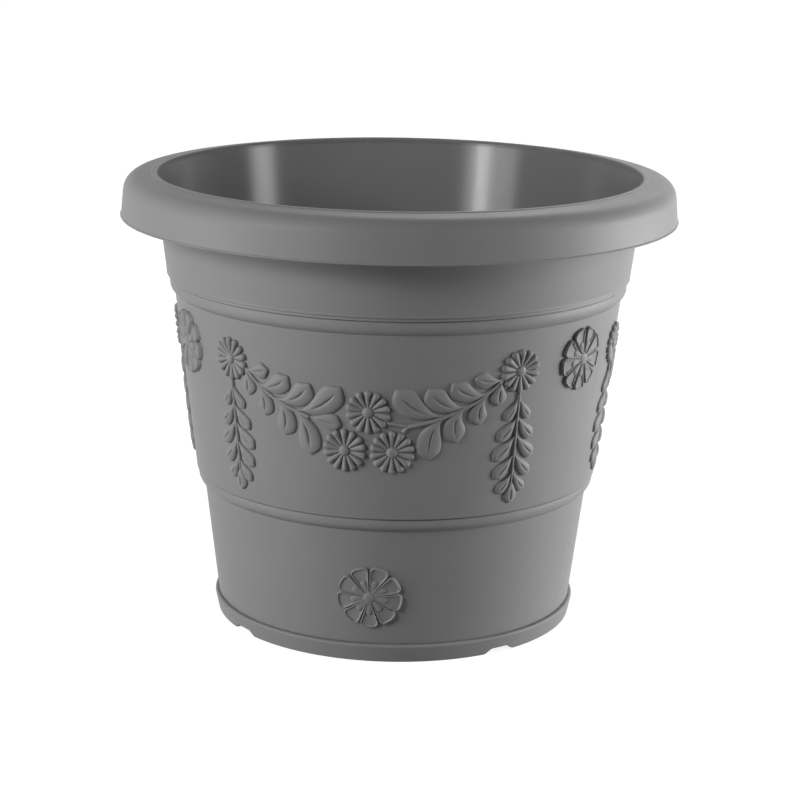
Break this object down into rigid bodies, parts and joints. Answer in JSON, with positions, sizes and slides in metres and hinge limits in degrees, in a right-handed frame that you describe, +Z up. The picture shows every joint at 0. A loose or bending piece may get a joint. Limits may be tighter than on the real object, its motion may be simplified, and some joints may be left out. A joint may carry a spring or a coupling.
{
  "type": "flower pot",
  "caption": "Round tapered flower pot with a wide turned-down rim, neck and shoulder mouldings, a notched foot ring and raised garlands of daisies, leafy sprays and rosettes.",
  "frame": {"origin": "on the floor under the middle of the pot", "axes": "+Z up, the middle of the first garland faces -Y"},
  "size_m": [0.4, 0.4, 0.326],
  "materials": {
    "pot_plastic": "moulded grey plastic, fine matt texture outside, smooth and shinier inside"
  },
  "bodies": {
    "root": {"rim_collar": "pot_plastic", "neck_band": "pot_plastic", "body_wall": "pot_plastic", "base_drum": "pot_plastic", "foot_ring": "pot_plastic", "s1_daisy_left": "pot_plastic", "s1_daisy_right": "pot_plastic", "s1_daisy_top": "pot_plastic", "s1_daisy_low_left": "pot_plastic", "s1_daisy_low_right": "pot_plastic", "s1_spray_left": "pot_plastic", "s1_spray_right": "pot_plastic", "s1_drop_left": "pot_plastic", "s1_drop_right": "pot_plastic", "s1_rosette_upper": "pot_plastic", "s1_rosette_lower": "pot_plastic", "s2_daisy_left": "pot_plastic", "s2_daisy_right": "pot_plastic", "s2_daisy_top": "pot_plastic", "s2_daisy_low_left": "pot_plastic", "s2_daisy_low_right": "pot_plastic", "s2_spray_left": "pot_plastic", "s2_spray_right": "pot_plastic", "s2_drop_left": "pot_plastic", "s2_drop_right": "pot_plastic", "s2_rosette_upper": "pot_plastic", "s2_rosette_lower": "pot_plastic", "s3_daisy_left": "pot_plastic", "s3_daisy_right": "pot_plastic", "s3_daisy_top": "pot_plastic", "s3_daisy_low_left": "pot_plastic", "s3_daisy_low_right": "pot_plastic", "s3_spray_left": "pot_plastic", "s3_spray_right": "pot_plastic", "s3_drop_left": "pot_plastic", "s3_drop_right": "pot_plastic", "s3_rosette_upper": "pot_plastic", "s3_rosette_lower": "pot_plastic"}
  },
  "joints": []
}
